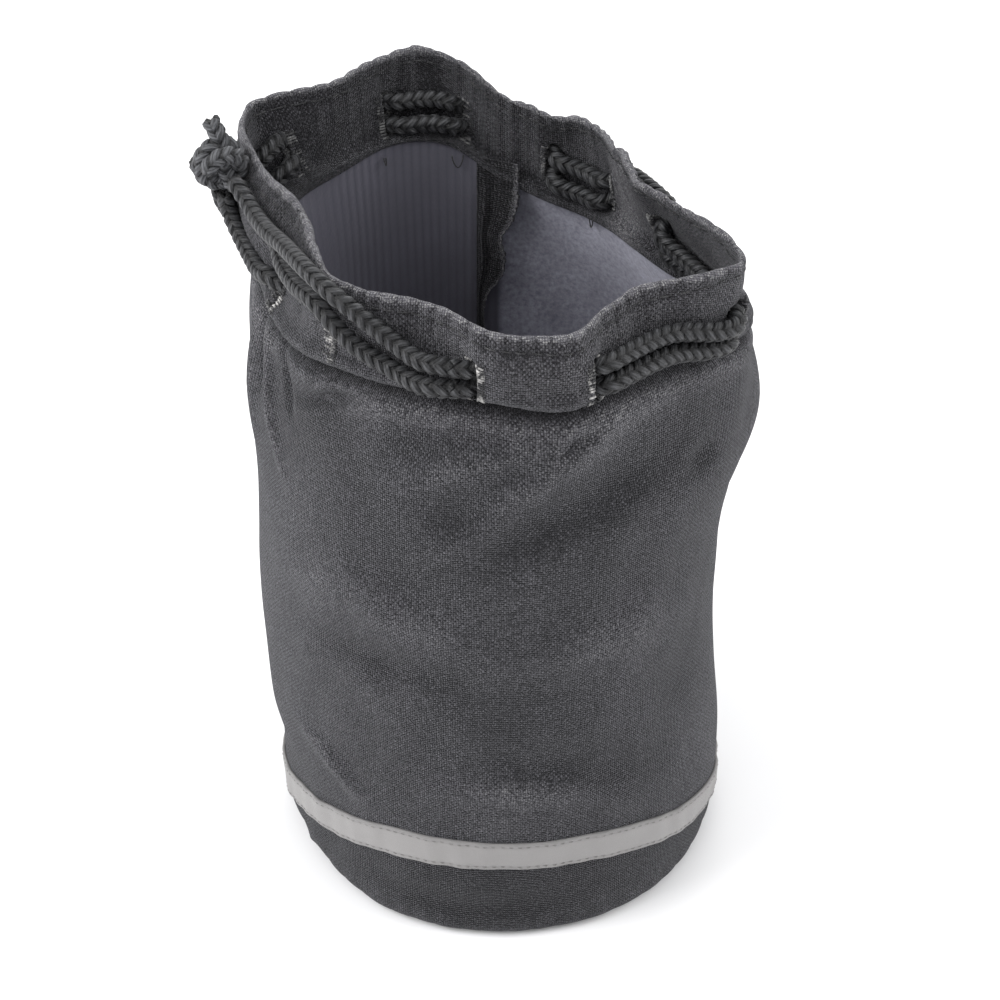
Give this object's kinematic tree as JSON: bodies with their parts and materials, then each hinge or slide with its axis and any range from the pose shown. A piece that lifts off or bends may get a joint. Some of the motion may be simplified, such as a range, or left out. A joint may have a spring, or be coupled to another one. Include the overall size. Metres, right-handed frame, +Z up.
{
  "type": "lens pouch",
  "caption": "Padded drawstring pouch for a camera lens: round base, canvas tube with a ribbed lining, folded collar with buttonhole slits and a doubled braided cord knotted at one side.",
  "frame": {"origin": "centre of the bounding box of the pouch without its free cords, on the surface that it stands on", "axes": "+Z up through the mouth, -Y towards the front of the pouch, +X towards its right side seen from the front"},
  "size_m": [0.1181, 0.1032, 0.1735],
  "materials": {
    "canvas": "washed waxed plain-weave cotton canvas, worn pale along its edges",
    "lining": "brushed ribbed lining, blue grey",
    "padding": "closed-cell foam sheet, hidden between canvas and lining",
    "tape": "grey satin tape sewn on with dark thread",
    "cord": "braided round cord with a slight sheen",
    "thread": "worn pale buttonhole stitching"
  },
  "bodies": {
    "pouch": {"outer_shell": "canvas", "base_disc": "canvas", "collar_band": "canvas", "base_padding": "padding", "body_padding": "padding", "lining_base": "lining", "lining_tube": "lining", "lining_seam_flap": "lining", "trim_strip": "tape", "drawstring_upper": "cord", "drawstring_lower": "cord", "draw_strand_front_upper": "cord", "draw_strand_front_lower": "cord", "draw_strand_back_upper": "cord", "draw_strand_back_lower": "cord", "draw_strand_left": "cord", "slit_stitching_1": "thread", "slit_stitching_2": "thread", "slit_stitching_3": "thread", "slit_stitching_4": "thread", "slit_stitching_5": "thread", "slit_stitching_6": "thread", "slit_stitching_7": "thread", "slit_stitching_8": "thread", "slit_stitching_9": "thread", "slit_stitching_10": "thread", "slit_stitching_11": "thread", "slit_stitching_12": "thread"},
    "knot": {"stopper_knot": "cord", "cord_tail": "cord"}
  },
  "joints": [
    {"name": "drawstring_pull", "type": "slide", "parent": "pouch", "child": "knot", "axis": [-0.7998, -0.1, 0.5919], "range_m": [0, 0.03], "deforming": ["draw_strand_front_upper", "draw_strand_front_lower", "draw_strand_back_upper", "draw_strand_back_lower", "draw_strand_left"]}
  ]
}
